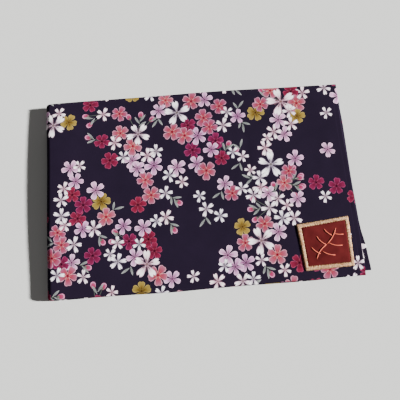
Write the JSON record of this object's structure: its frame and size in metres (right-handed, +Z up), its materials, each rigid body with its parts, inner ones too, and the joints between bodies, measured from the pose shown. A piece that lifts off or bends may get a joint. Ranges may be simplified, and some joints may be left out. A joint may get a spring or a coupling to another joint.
{
  "type": "folded handkerchief",
  "caption": "Printed cotton handkerchief folded into a flat layered rectangle, with a small leather label on a woven backing near one corner.",
  "frame": {"origin": "centre of the bounding box, on the flat underside", "axes": "+X along the long side from the left fold towards the open hems, +Y from the near fold towards the far side, +Z up out of the top layer that carries the label"},
  "size_m": [0.2336, 0.1522, 0.0115],
  "materials": {
    "printed_cotton": "matte printed cotton, navy ground with small blossoms",
    "tan_weave": "matte tan weave with raw edges",
    "red_leather": "satin brick-red leather"
  },
  "bodies": {
    "root": {"cloth": "printed_cotton", "label_backing": "tan_weave", "label_face": "red_leather"}
  },
  "joints": []
}
